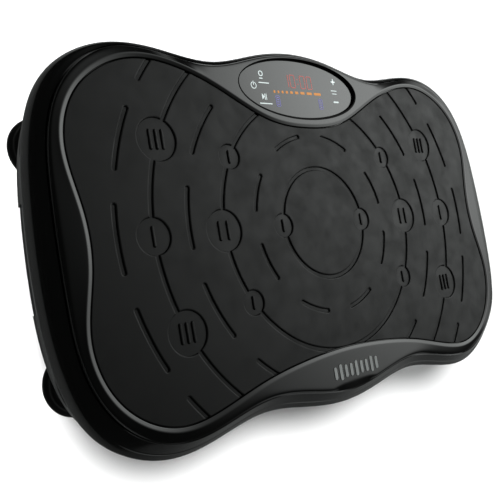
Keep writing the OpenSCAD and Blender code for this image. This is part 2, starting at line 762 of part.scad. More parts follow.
module drive_shaft() {
    color("#b4b8bc") union() {
        bar_y(-shaft_x, shaft_z, -rod_y + rod_w / 2 + 2, rod_y - rod_w / 2 - 2, shaft_r);
        for (s = [-1, 1])
            bar_y(-shaft_x + throw, shaft_z, s * (rod_y - rod_w / 2 - 3), s * (rod_y + rod_w / 2),
                journal_r);
    }
}
module driven_pulley() {
    color("#c8ccd0") difference() {
        union() {
            tube_y(-shaft_x, shaft_z, belt_y - 10, belt_y + 10, pulley_r, pulley_r - 4);
            tube_y(-shaft_x, shaft_z, belt_y - 3, belt_y + 3, pulley_r - 2, shaft_r);
            tube_y(-shaft_x, shaft_z, belt_y - 9, belt_y + 9, 14, shaft_r);
        }
        for (a = [0:60:300]) rotate_about(a) bar_y(-shaft_x + 20, shaft_z, belt_y - 20, belt_y + 20, 4);
    }
}
module rotate_about(a) {
    translate([-shaft_x, 0, shaft_z]) rotate([0, a, 0]) translate([shaft_x, 0, -shaft_z]) children();
}
bearing_r = 19;
eye_gap = 4.4;
eye_r = 11;
module rod(s) {
    y = s * rod_y;
    big_x = -shaft_x + throw;
    color("#8c9095") difference() {
        union() {
            bar_y(big_x, shaft_z, y - rod_w / 2, y + rod_w / 2, 23);
            box([big_x - 10, y - rod_w / 2, shaft_z], [big_x + 10, y + rod_w / 2, rod_top_z]);
            bar_y(big_x, rod_top_z, y - rod_w / 2, y + rod_w / 2, eye_r);
        }
        bar_y(big_x, shaft_z, y - 20, y + 20, bearing_r);
        bar_y(big_x, rod_top_z, y - 20, y + 20, rod_pin_r + eye_gap);
    }
}
module rod_front() { rod(-1); }
module rod_rear() { rod(1); }
module rod_bearing(s) {
    color("#c8ccd0") tube_y(-shaft_x + throw, shaft_z, s * rod_y - rod_w / 2, s * rod_y + rod_w / 2,
        bearing_r, journal_r + 0.05);
}
module rod_bearing_front() { rod_bearing(-1); }
module rod_bearing_rear() { rod_bearing(1); }

mat();
top_shell();
side_skirt();
console_bezel();
display_lens();
display_board();
led_display();
display_cable();
deck_plate();
deck_rail_front();
deck_rail_rear();
deck_bolts();
shell_screws();
skirt_screws();
pivot_yoke_front();
pivot_yoke_rear();
pivot_bush_front();
pivot_bush_rear();
rod_bracket_front();
rod_bracket_rear();
rod_pins();
base_tray();
base_plate();
foot_front_left();
foot_front_right();
foot_rear_left();
foot_rear_right();
foot_bolts();
pivot_stand_front();
pivot_stand_rear();
pivot_pins();
stand_bolts();
pillow_block_front();
pillow_block_rear();
shaft_bearing_front();
shaft_bearing_rear();
pillow_bolts();
motor_can();
motor_cap_front();
motor_cap_rear();
motor_magnets();
motor_cradle();
drive_belt();
control_board();
heat_sink();
transformer();
wire_harness();
display_header();
power_inlet();
fuse_holder();
switch_housing();
drive_shaft();
driven_pulley();
rod_front();
rod_rear();
rod_bearing_front();
rod_bearing_rear();
motor_rotor();
motor_pulley();
rocker_switch();
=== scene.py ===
import math

import bmesh
import bpy
import numpy as np
from mathutils import Matrix, Vector
from mathutils.geometry import delaunay_2d_cdt


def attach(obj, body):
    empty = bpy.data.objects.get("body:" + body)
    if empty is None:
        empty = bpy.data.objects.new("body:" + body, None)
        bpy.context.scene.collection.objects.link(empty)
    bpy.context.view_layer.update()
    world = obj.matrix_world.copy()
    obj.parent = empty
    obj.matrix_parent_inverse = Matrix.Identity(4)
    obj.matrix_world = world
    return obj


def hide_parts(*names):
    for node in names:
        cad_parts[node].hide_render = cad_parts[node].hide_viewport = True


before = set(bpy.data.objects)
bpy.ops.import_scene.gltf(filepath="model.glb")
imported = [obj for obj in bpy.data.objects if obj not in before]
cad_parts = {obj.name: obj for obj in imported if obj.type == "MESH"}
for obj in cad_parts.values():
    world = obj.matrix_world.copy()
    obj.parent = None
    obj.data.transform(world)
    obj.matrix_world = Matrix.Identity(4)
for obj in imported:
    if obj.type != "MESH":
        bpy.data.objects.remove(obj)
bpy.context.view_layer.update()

MM = 0.001          # shapes are in millimetres, and the lights and the camera in metres

# ---------------------------------------------------------------- outlines
# Half outlines, from the front middle round +X to the rear middle: the guide
# points that each smooth closed curve runs close to.
MAT_GUIDES = [
    (0, -141), (62, -145), (127, -154), (190, -174), (240, -179), (291, -145),
    (310, -85), (290, -28), (290, 28), (307, 85), (289, 140), (240, 172),
    (190, 175), (127, 154), (62, 113), (0, 109)]
SEAM_GUIDES = [
    (0, -194), (58, -182), (120, -169), (190, -190), (243, -192), (291, -163),
    (318, -111), (321, -45), (321, 45), (316, 110), (290, 158), (243, 187),
    (190, 185), (125, 168), (60, 192), (0, 199)]
HIP_GUIDES = [
    (0, -206), (58, -198), (120, -183), (188, -202), (247, -207), (308, -176),
    (333, -118), (340, -45), (338, 45), (330, 113), (305, 164), (251, 192.5),
    (189, 191.5), (122, 175.5), (60, 196), (0, 204.5)]
MAT_TOP = 128.0
SEAM_Z = 125.8      # the seam between the top shell and the skirt
HIP_Z = 111.0       # the widest line of the skirt
FLANGE_Z = 119.0    # where the top shell's rim rests on the skirt's flange
SHELL_FLOOR = 124.5  # the recess that the mat lies in
WALL = 2.5          # thickness of the top shell
CONSOLE_Y = 156.0
CONSOLE_A, CONSOLE_B = 94.0, 36.5   # half axes of the console's oval
BEZEL_SEAT = 126.2
LENS_TOP = 125.4
LENS_IN = 2.25      # from the bezel's outer edge to the lens
LENS_SHIFT = 0.8    # the lens sits this far behind the bezel's middle
MARK_LO, MARK_HI = LENS_TOP - 0.2, LENS_TOP + 0.42


def loop_curve(guides, per):
    """Closed smooth curve near its mirrored guide points, counter-clockwise."""
    g = np.array(guides + [(-x, y) for x, y in guides[-2:0:-1]], float)
    t = np.arange(per) / per
    weights = np.array([(1 - t) ** 3, 3 * t ** 3 - 6 * t ** 2 + 4,
                        -3 * t ** 3 + 3 * t ** 2 + 3 * t + 1, t ** 3]) / 6
    n = len(g)
    out = np.zeros((n, per, 2))
    for k in range(4):
        out += weights[k][None, :, None] * np.roll(g, 1 - k, axis=0)[:, None, :]
    return out.reshape(-1, 2)


def normals_of(curve):
    """Unit normals of a closed counter-clockwise curve, pointing outwards."""
    t = np.roll(curve, -1, 0) - np.roll(curve, 1, 0)
    t /= np.linalg.norm(t, axis=1)[:, None]
    return np.column_stack([t[:, 1], -t[:, 0]])


def grown(curve, d):
    """The curve moved outwards by d, one distance or one for each point."""
    return curve + normals_of(curve) * np.reshape(d, (-1, 1))


def unit_circle(count):
    a = np.arange(count) * 2 * math.pi / count
    return np.column_stack([np.cos(a), np.sin(a)])


def oval_ring(a, b, shift=0.0):
    """The console's oval with half axes a and b."""
    return unit_circle(240) * (a, b) + (0, CONSOLE_Y + shift)


def between(a, b, w):
    return (1 - w) * a + w * b


def at(curve, z):
    """The flat curve as points at height z."""
    return np.column_stack([curve, np.broadcast_to(z, len(curve))])


def ease(t):
    """Smooth step from 0 to 1."""
    return t * t * (3 - 2 * t)


# ---------------------------------------------------------------- meshes
def new_object(name, data):
    ob = bpy.data.objects.new(name, data)
    bpy.context.scene.collection.objects.link(ob)
    return ob


def raw_object(name, verts, faces):
    """An object from vertices in millimetres, with its faces turned outwards."""
    me = bpy.data.meshes.new(name)
    me.from_pydata((np.asarray(verts) * MM).tolist(), [], faces)
    me.update()
    bm = bmesh.new()
    bm.from_mesh(me)
    bmesh.ops.recalc_face_normals(bm, faces=bm.faces)
    bm.to_mesh(me)
    bm.free()
    return new_object(name, me)


def shade(ob, angle):
    """Faces are smooth where they meet at less than this angle in degrees, or flat at 0."""
    me = ob.data
    me.polygons.foreach_set("use_smooth", [angle > 0] * len(me.polygons))
    if angle > 0:
        me.set_sharp_from_angle(angle=math.radians(angle))
    me.update()


def mesh_object(name, verts, faces, smooth=30.0):
    """The same, shaded up to the angle smooth."""
    ob = raw_object(name, verts, faces)
    shade(ob, smooth)
    return ob


def skin(name, rings, looped=True, capped=False, smooth=30.0):
    """A surface through closed rings: the last ring joins the first, or both ends are capped."""
    n = len(rings[0])
    m = len(rings)
    verts = np.vstack(rings)
    faces = []
    for r in range(m if looped else m - 1):
        s = (r + 1) % m
        for j in range(n):
            k = (j + 1) % n
            faces.append((r * n + j, s * n + j, s * n + k, r * n + k))
    if capped:
        faces.append(tuple(range(n)))
        faces.append(tuple((m - 1) * n + j for j in reversed(range(n))))
    return mesh_object(name, verts, faces, smooth)


def box_mesh(name, lo, hi):
    (x0, y0, z0), (x1, y1, z1) = lo, hi
    verts = [(x, y, z) for z in (z0, z1) for y in (y0, y1) for x in (x0, x1)]
    faces = [(0, 2, 3, 1), (4, 5, 7, 6), (0, 1, 5, 4), (2, 6, 7, 3), (0, 4, 6, 2), (1, 3, 7, 5)]
    return mesh_object(name, verts, faces, 0)


def prism(name, outline, z0, z1):
    outline = np.asarray(outline, float)
    return skin(name, [at(outline, z0), at(outline, z1)], looped=False, capped=True)


def rounded_rect(cx, cy, w, h, r, seg=8):
    """A rectangle round cx, cy with corners of radius r, each in seg steps."""
    pts = []
    for k, (sx, sy) in enumerate(((1, -1), (1, 1), (-1, 1), (-1, -1))):
        for i in range(seg + 1):
            a = math.radians(-90 + 90 * k + 90 * i / seg)
            pts.append((cx + sx * (w / 2 - r) + r * math.cos(a),
                        cy + sy * (h / 2 - r) + r * math.sin(a)))
    return np.array(pts)


def turned(ob, matrix):
    """The object with its mesh moved by the matrix."""
    ob.data.transform(matrix)
    ob.data.update()
    return ob


def combine(ob, others, operation="DIFFERENCE"):
    """Cuts the other solids out of ob, or adds them, and keeps the result."""
    for other in others:
        mod = ob.modifiers.new("combine", "BOOLEAN")
        mod.operation = operation
        mod.solver = "EXACT"
        mod.object = other
    bpy.context.view_layer.update()
    deps = bpy.context.evaluated_depsgraph_get()
    me = bpy.data.meshes.new_from_object(ob.evaluated_get(deps))
    me.name = ob.data.name
    ob.modifiers.clear()
    ob.data = me
    for other in others:
        bpy.data.objects.remove(other)
    return ob


def join(name, parts, smooth=None):
    """One object made of all the parts, which it takes the place of."""
    bm = bmesh.new()
    for p in parts:
        bm.from_mesh(p.data)
        bpy.data.objects.remove(p)
    me = bpy.data.meshes.new(name)
    bm.to_mesh(me)
    bm.free()
    ob = new_object(name, me)
    if smooth is not None:
        shade(ob, smooth)
    return ob


def lathe(name, profile, centre, seg, smooth=30.0):
    """A closed profile of (radius, z) points, turned about the vertical line at centre."""
    circle = unit_circle(seg)
    return skin(name, [at(circle * r + centre, z) for r, z in profile], smooth=smooth)


# ---------------------------------------------------------------- materials
def link(tree, a, b):
    tree.links.new(a, b)


def math_node(tree, op, a, b=None):
    """The result of a math node, whose inputs are numbers or other nodes' outputs."""
    n = tree.nodes.new("ShaderNodeMath")
    n.operation = op
    for i, v in enumerate((a, b)):
        if v is None:
            continue
        if isinstance(v, (int, float)):
            n.inputs[i].default_value = v
        else:
            link(tree, v, n.inputs[i])
    return n.outputs[0]


def finish_material(name, colour, rough, metallic=0.0, specular=0.5, grain=900.0,
                    grain_depth=0.0, rough_var=0.06, colour_var=0.15, patch=25.0, wear=0.0,
                    emission=None, emission_strength=0.0):
    """Moulded plastic, rubber or metal: slow changes of tone and roughness, and a fine grain.

    grain and patch are noise scales, and grain_depth is in millimetres. wear is how much
    less rough the material is where the mesh's worn attribute is 1.
    """
    m = bpy.data.materials.new(name)
    m.use_nodes = True
    t = m.node_tree
    bsdf = t.nodes["Principled BSDF"]
    bsdf.inputs["Metallic"].default_value = metallic
    bsdf.inputs["Specular IOR Level"].default_value = specular
    coord = t.nodes.new("ShaderNodeTexCoord")
    slow = t.nodes.new("ShaderNodeTexNoise")
    slow.inputs["Scale"].default_value = patch
    slow.inputs["Detail"].default_value = 5.0
    link(t, coord.outputs["Object"], slow.inputs["Vector"])
    ramp = t.nodes.new("ShaderNodeValToRGB")
    lo = [c * (1 - colour_var) for c in colour]
    hi = [c * (1 + colour_var) for c in colour]
    ramp.color_ramp.elements[0].position = 0.3
    ramp.color_ramp.elements[1].position = 0.7
    ramp.color_ramp.elements[0].color = (*lo, 1)
    ramp.color_ramp.elements[1].color = (*hi, 1)
    link(t, slow.outputs["Fac"], ramp.inputs["Fac"])
    link(t, ramp.outputs["Color"], bsdf.inputs["Base Color"])
    fine = t.nodes.new("ShaderNodeTexNoise")
    fine.inputs["Scale"].default_value = grain
    fine.inputs["Detail"].default_value = 2.0
    link(t, coord.outputs["Object"], fine.inputs["Vector"])
    spread = t.nodes.new("ShaderNodeMapRange")
    spread.inputs["From Min"].default_value = 0.3
    spread.inputs["From Max"].default_value = 0.7
    spread.inputs["To Min"].default_value = max(rough - rough_var, 0.02)
    spread.inputs["To Max"].default_value = min(rough + rough_var, 1.0)
    link(t, slow.outputs["Fac"], spread.inputs["Value"])
    shine = spread.outputs["Result"]
    if wear > 0:
        worn = t.nodes.new("ShaderNodeAttribute")
        worn.attribute_name = "worn"
        polish = math_node(t, "MULTIPLY", worn.outputs["Fac"], wear)
        shine = math_node(t, "SUBTRACT", shine, polish)
    link(t, shine, bsdf.inputs["Roughness"])
    if grain_depth > 0:
        bump = t.nodes.new("ShaderNodeBump")
        bump.inputs["Strength"].default_value = 1.0
        bump.inputs["Distance"].default_value = grain_depth * MM
        link(t, fine.outputs["Fac"], bump.inputs["Height"])
        link(t, bump.outputs["Normal"], bsdf.inputs["Normal"])
    if emission:
        bsdf.inputs["Emission Color"].default_value = (*emission, 1)
        bsdf.inputs["Emission Strength"].default_value = emission_strength
    return m


GLOSS_BLACK = (0.0035, 0.0038, 0.0036)
LOOKS = {
    "mat_rubber": dict(colour=(0.0060, 0.0062, 0.0059), rough=0.42, specular=0.27, grain=1500,
                       grain_depth=0.05, patch=50, colour_var=0.14, rough_var=0.07, wear=0.06),
    "shell_gloss": dict(colour=GLOSS_BLACK, rough=0.07, rough_var=0.015, colour_var=0.1, patch=12),
    "skirt_gloss": dict(colour=GLOSS_BLACK, rough=0.09, rough_var=0.02, colour_var=0.1, patch=12),
    "bezel_gloss": dict(colour=(0.002, 0.002, 0.002), rough=0.5, specular=0.06, rough_var=0.02),
    "lens_smoked": dict(colour=(0.006, 0.0066, 0.0063), rough=0.06, specular=0.62,
                        rough_var=0.01),
    "board_green": dict(colour=(0.01, 0.09, 0.03), rough=0.45, grain=400, grain_depth=0.03),
    "led_red": dict(colour=(0.03, 0.004, 0.004), rough=0.4),
    "ribbon_grey": dict(colour=(0.35, 0.35, 0.36), rough=0.5, grain=700, grain_depth=0.05),
    "steel_painted": dict(colour=(0.05, 0.053, 0.056), rough=0.42, grain=700, grain_depth=0.04),
    "steel_bright": dict(colour=(0.52, 0.53, 0.54), rough=0.3, metallic=1.0, rough_var=0.08),
    "bush_rubber": dict(colour=(0.03, 0.028, 0.026), rough=0.7, grain_depth=0.05),
    "tray_matte": dict(colour=(0.012, 0.012, 0.012), rough=0.5, grain=1200, grain_depth=0.06),
    "foot_rubber": dict(colour=(0.005, 0.005, 0.005), rough=0.5, specular=0.25, grain=1100,
                        grain_depth=0.03),
    "cast_green": dict(colour=(0.03, 0.055, 0.045), rough=0.55, grain=500, grain_depth=0.12),
    "can_dark": dict(colour=(0.03, 0.031, 0.033), rough=0.35, metallic=0.6),
    "alloy": dict(colour=(0.45, 0.46, 0.47), rough=0.42, metallic=1.0, grain=600,
                  grain_depth=0.05),
    "rotor_copper": dict(colour=(0.45, 0.2, 0.1), rough=0.4, metallic=0.9),
    "belt_rubber": dict(colour=(0.012, 0.012, 0.012), rough=0.65, grain_depth=0.06),
    "core_steel": dict(colour=(0.12, 0.11, 0.1), rough=0.5, metallic=0.7),
    "wire_pvc": dict(colour=(0.14, 0.02, 0.015), rough=0.4, grain_depth=0.02),
    "header_white": dict(colour=(0.62, 0.62, 0.6), rough=0.45, grain_depth=0.02),
    "inlet_black": dict(colour=(0.01, 0.01, 0.01), rough=0.35, grain=1000, grain_depth=0.03),
    "rocker_red": dict(colour=(0.35, 0.012, 0.01), rough=0.3, rough_var=0.04),
    "lit_white": dict(colour=(0.6, 0.6, 0.6), rough=0.5, emission=(0.86, 1.0, 0.98),
                      emission_strength=0.75),
    "lit_red": dict(colour=(0.2, 0.02, 0.02), rough=0.5, emission=(1.0, 0.30, 0.27),
                    emission_strength=0.45),
    "lit_amber": dict(colour=(0.3, 0.1, 0.01), rough=0.5, emission=(1.0, 0.42, 0.1),
                      emission_strength=0.6),
    "lit_violet": dict(colour=(0.1, 0.1, 0.3), rough=0.5, emission=(0.38, 0.36, 0.85),
                       emission_strength=0.5),
    "print_grey": dict(colour=(0.8, 0.83, 0.82), rough=0.45, rough_var=0.03),
}
MATERIALS = {name: finish_material(name, **look) for name, look in LOOKS.items()}


def piece(ob, body, material, *nodes):
    """Gives ob its material and body, and the nodes that it stands in for."""
    ob.data.materials.clear()
    ob.data.materials.append(MATERIALS[material])
    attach(ob, body)
    if nodes:
        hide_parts(*nodes)


# ---------------------------------------------------------------- outlines in use
PER_GUIDE = 16      # curve points for each guide point
MAT = loop_curve(MAT_GUIDES, PER_GUIDE)
SEAM = loop_curve(SEAM_GUIDES, PER_GUIDE)
HIP = loop_curve(HIP_GUIDES, PER_GUIDE)


# ---------------------------------------------------------------- top shell
# From the mat outwards the shell is a raised bead, a nearly flat land and the seam.
BEAD_TOP = 128.98
BEAD_END = 4.8      # the bead's crown is this far outside the mat
LAND_SLOPE = 0.012  # fall of the land, for each millimetre
SEAM_GAP = 0.6      # between the seam's middle and the shell's edge, or the skirt's
LAND_STEPS = 22
SCOOP_X, SCOOP_HALF = 4.0, 37.0     # middle and half length of the scoop in the front edge
SCOOP_WIDTH = 8.5
RIM_T = 7.0         # thickness of the rim that rests on the skirt


def land_drop(span, left, scoop):
    """How far the land has fallen from the bead (0) to the seam (1).

    span is its whole width and left what remains. A wide land rolls over near the
    seam, a narrow one falls evenly, and the scoop is a chamfer in the front edge.
    """
    roll = 0.9 + 4.1 * np.exp(-np.maximum(span - 6, 0) / 4)
    narrow = np.exp(-(np.maximum(span - 7, 0) / 4) ** 2)
    tail = np.exp(-span / roll)
    wide = (np.exp(-left / roll) - tail) / (1 - tail)
    drop = narrow * (1 - left / span) + (1 - narrow) * wide
    return np.maximum(drop, 1 - left / (0.01 + SCOOP_WIDTH * scoop))


def top_shell():
    bead = [(0.5, SHELL_FLOOR), (0.5, 127.75), (0.56, 128.0), (0.72, 128.18), (0.95, 128.3),
            (1.3, 128.38), (2.0, 128.52), (2.8, 128.69), (3.4, 128.82), (3.8, 128.89),
            (4.1, 128.93), (4.4, 128.96), (BEAD_END, BEAD_TOP)]
    rings = [at(grown(MAT, d), z) for d, z in bead]
    start = grown(MAT, BEAD_END + 0.4)
    end = grown(SEAM, -SEAM_GAP)
    span = np.linalg.norm(end - start, axis=1)
    along = (MAT[:, 0] - SCOOP_X) / SCOOP_HALF
    scoop = np.sqrt(np.clip(1 - along ** 2, 0, 1)) * (MAT[:, 1] < 0)
    fall = BEAD_TOP - SEAM_Z - LAND_SLOPE * span
    for i in range(LAND_STEPS + 1):
        t = 1 - (1 - i / LAND_STEPS) ** 2.2
        t = t * (1 - 0.45 / span)
        left = span * (1 - t)
        z = BEAD_TOP - LAND_SLOPE * (span - left) - fall * land_drop(span, left, scoop)
        rings.append(at(between(start, end, t[:, None]), z))
    last = rings[-1][:, 2]
    for into, down in ((0.2, 0.12), (0.05, 0.3), (0, 0.6)):
        rings.append(at(grown(SEAM, -SEAM_GAP - into), last - down))
    rim = SEAM_GAP + RIM_T
    rings.append(at(grown(SEAM, -SEAM_GAP), FLANGE_Z))
    rings.append(at(grown(SEAM, -rim), FLANGE_Z))
    rings.append(at(grown(SEAM, -rim), SEAM_Z - WALL))
    rings.append(at(grown(MAT, 5.5), SHELL_FLOOR - 0.3))
    rings.append(at(grown(MAT, 3.5), SHELL_FLOOR - 4.0))
    ob = skin("shell_panel", rings, looped=False, capped=True, smooth=0)
    hole = prism("cut", oval_ring(CONSOLE_A, CONSOLE_B), 108, 140)
    combine(ob, [hole])
    shade(ob, 35)
    piece(ob, "deck", "shell_gloss", "top_shell")


# ---------------------------------------------------------------- side skirt
FLANGE_T, FLANGE_W = 2.0, 14.0      # the flange under the top shell's rim
SHOULDER_STEPS = 32
GRIP_Y, GRIP_Z, GRIP_W, GRIP_H, GRIP_R = -4.0, 64.0, 100.0, 40.0, 7.0


def side_skirt():
    # 1 where the edge faces the front and its shoulder is flatter, 0 at the ends and rear.
    front = ease(np.clip((-normals_of(SEAM)[:, 1] - 0.3) / 0.6, 0, 1))
    power = 0.8 + 1.12 * front
    rise = 14.8 - 0.6 * front
    rings = [at(grown(SEAM, -FLANGE_W), FLANGE_Z - FLANGE_T),
             at(grown(SEAM, -FLANGE_W), FLANGE_Z),
             at(grown(SEAM, SEAM_GAP), FLANGE_Z), at(grown(SEAM, SEAM_GAP), 125.2),
             at(grown(SEAM, 0.64), 125.36 - 0.16 * front),
             at(grown(SEAM, 0.76), 125.46 - 0.26 * front)]
    for i in range(SHOULDER_STEPS + 1):
        phi = math.radians(2 + 88 * (i / SHOULDER_STEPS) ** 1.2)
        w = math.sin(phi) ** power
        sag = (1 - front) * 4.6 * w * (1 - w) ** 2 + 0.3 * (1 - w)
        z = HIP_Z + rise * math.cos(phi) ** power - sag
        gap = 0.9 * (1 - w) ** 2
        rings.append(at(grown(between(SEAM, HIP, w[:, None]), gap), z))
    outside = [(-0.3, 107), (-1.4, 103), (-2.8, 98.5), (-4.6, 94), (-6.2, 89), (-8, 84),
               (-9.5, 79), (-10.8, 74), (-11.9, 69.5), (-12.8, 65), (-13.3, 62), (-13.7, 60.8),
               (-14.4, 60.1)]
    inside = [(-16.0, 60.1), (-16.6, 60.8), (-14.0, 74), (-7.1, 94), (-2.5, HIP_Z)]
    rings += [at(grown(HIP, d), z) for d, z in outside + inside]
    rings.append(at(grown(between(SEAM, HIP, 0.72), -1), FLANGE_Z - FLANGE_T))
    ob = skin("skirt_shell", rings, smooth=0)
    grip = rounded_rect(GRIP_Y, GRIP_Z, GRIP_W, GRIP_H, GRIP_R)
    z_along_x = Matrix(((0, 0, 1, 0), (1, 0, 0, 0), (0, 1, 0, 0), (0, 0, 0, 1)))
    combine(ob, [turned(prism("cut", grip, x - 40, x + 40), z_along_x) for x in (-325, 325)])
    shade(ob, 35)
    piece(ob, "deck", "skirt_gloss", "side_skirt")


# ---------------------------------------------------------------- mat
RINGS = RING_1, RING_2, RING_3 = 62.5, 144.0, 226.8
SINGLE_ANGLE, TRIPLE_ANGLE = 31.9, 24.2     # of the outlying discs, from the X axis
GROOVE = 2.0        # half width of a groove
BAR = 1.5           # half width of a raised bar


def disc_list():
    """Each disc's x, y, radius, number of bars, bar length and pitch."""
    single = math.radians(SINGLE_ANGLE)
    triple = math.radians(TRIPLE_ANGLE)
    discs = []
    for s in (-1, 1):
        discs.append((s * (RING_1 + 1), 0, 13, 1, 14, 0))
        discs.append((s * (RING_2 + 0.4), 0, 21.5, 2, 20, 10.6))
        discs.append((s * RING_3, 0, 18, 1, 20, 0))
        for v in (-1, 1):
            x, y = s * RING_2 * math.cos(single), v * RING_2 * math.sin(single)
            discs.append((x, y, 13, 1, 14, 0))
            x, y = s * RING_3 * math.cos(triple), v * RING_3 * math.sin(triple)
            discs.append((x, y, 21.5, 3, 20, 7))
    return discs


def dash_list():
    """Each dash's radius, and its first and last angle in degrees."""
    dashes = []
    for turn in (0, 180):
        for middle in (22, -22, 68, -68):
            dashes.append((101, middle, 11, turn))
        for middle in (34.5, 4.8, -25, -55):
            dashes.append((186.5, middle if turn == 0 else -middle, 9, turn))
        for k in range(-2, 3):
            dashes.append((265, 20.8 * k, 6.6, turn))
    return [(r, turn + middle - half, turn + middle + half) for r, middle, half, turn in dashes]


DISCS = disc_list()
DASHES = dash_list()


def bar_centres(x, bars, pitch):
    """The X of each bar on a disc at x."""
    return [x + (i - (bars - 1) / 2) * pitch for i in range(bars)]


def arc_distance(p, r, lo, hi):
    """Distance from each point to an arc round the origin, between two angles in degrees."""
    rho = np.hypot(p[:, 0], p[:, 1])
    ang = np.degrees(np.arctan2(p[:, 1], p[:, 0]))
    mid = (lo + hi) / 2
    off = (ang - mid + 180) % 360 - 180
    half = (hi - lo) / 2
    end = np.radians(mid + np.sign(off) * half)
    tip = np.hypot(p[:, 0] - r * np.cos(end), p[:, 1] - r * np.sin(end))
    return np.where(np.abs(off) > half, tip, np.abs(rho - r))


def relief(p):
    """Signed distance to the edge of the recessed pattern, negative inside."""
    rho = np.hypot(p[:, 0], p[:, 1])
    d = np.min([np.abs(rho - r) - GROOVE for r in RINGS], axis=0)
    for r, lo, hi in DASHES:
        d = np.minimum(d, arc_distance(p, r, lo, hi) - GROOVE)
    for x, y, r, *_ in DISCS:
        d = np.minimum(d, np.hypot(p[:, 0] - x, p[:, 1] - y) - r)
    bar = np.full(len(p), 1e3)
    for x, y, r, bars, length, pitch in DISCS:
        for cx in bar_centres(x, bars, pitch):
            qy = np.maximum(np.abs(p[:, 1] - y) - (length / 2 - BAR), 0)
            bar = np.minimum(bar, np.hypot(p[:, 0] - cx, qy) - BAR)
    return np.maximum(d, -bar)


SOFT = 0.5          # half width of a groove's wall
LIP = 1.6           # width of the shallow dip beside a groove
DEPTH = 1.3         # of the grooves and discs
DIP = 0.26          # depth of the dip beside them
EDGE_R = 1.3        # rounding of the mat's upper edge
MESH_LEVELS = (LIP, 1.1, 0.75, SOFT, SOFT / 2, 0.0, -SOFT / 2, -SOFT)


def relief_parts(p):
    """How far down the wall (0 to 1) and how far into the dip (0 to 1) each point is."""
    d = relief(p)
    return np.clip(0.5 - d / (2 * SOFT), 0, 1), np.clip(1 - d / LIP, 0, 1)


def mat_height(p, inside):
    """Height of the mat at points that are this far inside its edge."""
    wall, dip = relief_parts(p)
    past = np.maximum(EDGE_R - inside, 0)
    drop = EDGE_R - np.sqrt(np.maximum(EDGE_R ** 2 - past ** 2, 0))
    return MAT_TOP - DEPTH * ease(wall) - DIP * ease(dip) - drop


def edge_distance(p, curve):
    """Distance from each point to a closed polyline, positive inside it."""
    best = np.full(len(p), 1e9)
    crossings = np.zeros(len(p), int)
    for a, b in zip(curve, np.roll(curve, -1, 0)):
        ab = b - a
        ap = p - a
        t = np.clip((ap @ ab) / (ab @ ab), 0, 1)
        best = np.minimum(best, np.hypot(*(ap - t[:, None] * ab).T))
        spans = (a[1] > p[:, 1]) != (b[1] > p[:, 1])
        if ab[1] != 0:
            x = a[0] + (p[:, 1] - a[1]) * ab[0] / ab[1]
            crossings += spans & (p[:, 0] < x)
    return np.where(crossings % 2 == 1, best, -best)


def nearest(points, targets):
    """For each point, the index of the target nearest to it."""
    d2 = ((points[:, None, :] - targets[None, :, :]) ** 2).sum(axis=2)
    return d2.argmin(axis=1)


def dash_outline(r, lo, hi, w):
    """The closed line at distance w round an arc."""
    arc = np.radians(np.linspace(lo, hi, int(math.radians(hi - lo) * r / 2.2)))
    out = np.column_stack([np.cos(arc), np.sin(arc)])
    ends = np.radians(np.linspace(0, 180, 9))[1:-1]
    tip = out[-1] * r + w * (np.outer(np.cos(ends), out[-1])
                             + np.outer(np.sin(ends), (-out[-1][1], out[-1][0])))
    tail = out[0] * r + w * (np.outer(-np.cos(ends), out[0])
                             + np.outer(-np.sin(ends), (-out[0][1], out[0][0])))
    return np.vstack([out * (r + w), tip, (out * (r - w))[::-1], tail])


def pattern_lines():
    """Closed lines down the walls of every groove, disc and bar, for the mesh to follow."""
    lines = []
    for r in RINGS:
        circle = unit_circle(int(r * 2 * math.pi / 1.8))
        for level in MESH_LEVELS:
            lines.append(circle * (r + GROOVE + level))
            lines.append(circle * (r - GROOVE - level))
    for r, lo, hi in DASHES:
        lines += [dash_outline(r, lo, hi, GROOVE + level) for level in MESH_LEVELS]
    for x, y, r, bars, length, pitch in DISCS:
        circle = unit_circle(int(r * 2 * math.pi / 1.3))
        lines += [circle * (r + level) + (x, y) for level in MESH_LEVELS]
        for cx in bar_centres(x, bars, pitch):
            for level in MESH_LEVELS[3:]:
                width, height = 2 * (BAR - level), length - 2 * level
                lines.append(rounded_rect(cx, y, width, height, width / 2 - 0.001, 5))
    return lines


def mat_triangles():
    """Points and triangles that fill the mat's outline along the lines of its pattern."""
    rims = [grown(MAT, -d) for d in (0.0, 0.15, 0.4, 0.75, EDGE_R)]
    lines = pattern_lines()
    keeps = [np.ones(len(MAT), bool)] * len(rims)
    keeps += [edge_distance(line, MAT[::4]) > -3 for line in lines]
    edges = []
    first = 0
    for line, keep in zip(rims + lines, keeps):
        n = len(line)
        edges += [(first + j, first + (j + 1) % n) for j in range(n)
                  if keep[j] or keep[(j + 1) % n]]
        first += n
    flat = [Vector(v) for v in np.vstack(rims + lines).tolist()]
    out = delaunay_2d_cdt(flat, edges, [], 0, 1e-4, True)
    p = np.array([(v.x, v.y) for v in out[0]])
    tris = np.array(out[2])
    tris = tris[edge_distance(p[tris].mean(axis=1), MAT) > 0]
    used, index = np.unique(tris, return_inverse=True)
    return p[used], index.reshape(tris.shape)


